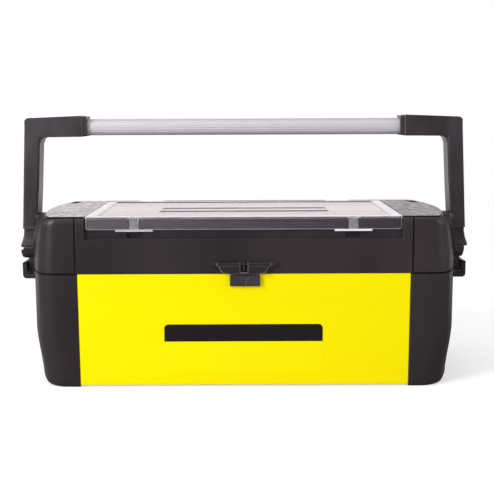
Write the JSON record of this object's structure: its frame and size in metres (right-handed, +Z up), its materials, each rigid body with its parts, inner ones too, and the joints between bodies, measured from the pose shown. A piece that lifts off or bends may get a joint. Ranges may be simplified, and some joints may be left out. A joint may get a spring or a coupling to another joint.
{
  "type": "tool box",
  "caption": "Long plastic tool box with a hinged lid, a swing-up carrying handle, a front latch, small-part bins under a clear cover in the lid and a lift-out tray.",
  "frame": {"origin": "on the floor under the middle of the box", "axes": "+X along the box to the right, +Y to the rear, the latch faces -Y, +Z up"},
  "size_m": [0.663, 0.2652, 0.3769],
  "materials": {
    "yellow": "moulded, satin",
    "black": "moulded, fine grain",
    "grey": "moulded, satin",
    "clear": "clear moulded plastic",
    "frosted": "translucent moulded plastic",
    "bar": "drawn tube, anodised",
    "steel": "zinc plated",
    "washer": "nylon",
    "label": "plain printed film"
  },
  "bodies": {
    "tub_body": {"tub": "yellow", "tub_end_cap_right": "black", "tub_end_cap_left": "black", "tub_cap_screws": "steel", "strike_block": "black", "front_label": "label", "rear_hinge_pins": "steel"},
    "lid_body": {"lid_shell": "black", "lid_end_right": "black", "lid_end_left": "black", "lid_end_screws": "steel", "bin_divider_1": "grey", "bin_divider_2": "grey", "bin_divider_3": "grey", "bin_divider_4": "grey", "bin_divider_5": "grey", "cover_hinge_pins": "steel", "latch_pin": "steel", "pivot_bolt_right": "steel", "pivot_bolt_left": "steel", "pivot_washers": "washer"},
    "cover_body": {"cover": "clear", "clip_pins": "steel"},
    "clip_right_body": {"clip_right": "frosted"},
    "clip_left_body": {"clip_left": "frosted"},
    "latch_body": {"latch_flap": "black"},
    "handle_body": {"handle_arm_right": "black", "handle_arm_left": "black", "handle_bar": "bar", "bar_screws": "steel"},
    "tray_body": {"tray": "black", "tray_divider_1": "grey", "tray_divider_2": "grey", "tray_divider_3": "grey", "tray_divider_4": "grey"}
  },
  "joints": [
    {"name": "lid_hinge", "type": "hinge", "parent": "tub_body", "child": "lid_body", "pos_m": [0, 0.1284, 0.1613], "axis": [-1, 0, 0], "range_deg": [0, 95]},
    {"name": "handle_pivot", "type": "hinge", "parent": "lid_body", "child": "handle_body", "pos_m": [0, 0, 0.1906], "axis": [-1, 0, 0], "range_deg": [-90, 90]},
    {"name": "cover_hinge", "type": "hinge", "parent": "lid_body", "child": "cover_body", "pos_m": [0, 0.1128, 0.2376], "axis": [-1, 0, 0], "range_deg": [0, 40]},
    {"name": "clip_right_hinge", "type": "hinge", "parent": "cover_body", "child": "clip_right_body", "pos_m": [0.15, -0.1193, 0.2382], "axis": [-1, 0, 0], "range_deg": [0, 60]},
    {"name": "clip_left_hinge", "type": "hinge", "parent": "cover_body", "child": "clip_left_body", "pos_m": [-0.15, -0.1193, 0.2382], "axis": [-1, 0, 0], "range_deg": [0, 60]},
    {"name": "latch_hinge", "type": "hinge", "parent": "lid_body", "child": "latch_body", "pos_m": [0, -0.1273, 0.1747], "axis": [-1, 0, 0], "range_deg": [0, 100]},
    {"name": "tray_lift", "type": "slide", "parent": "tub_body", "child": "tray_body", "axis": [0, 0, 1], "range_m": [0, 0.035]}
  ]
}
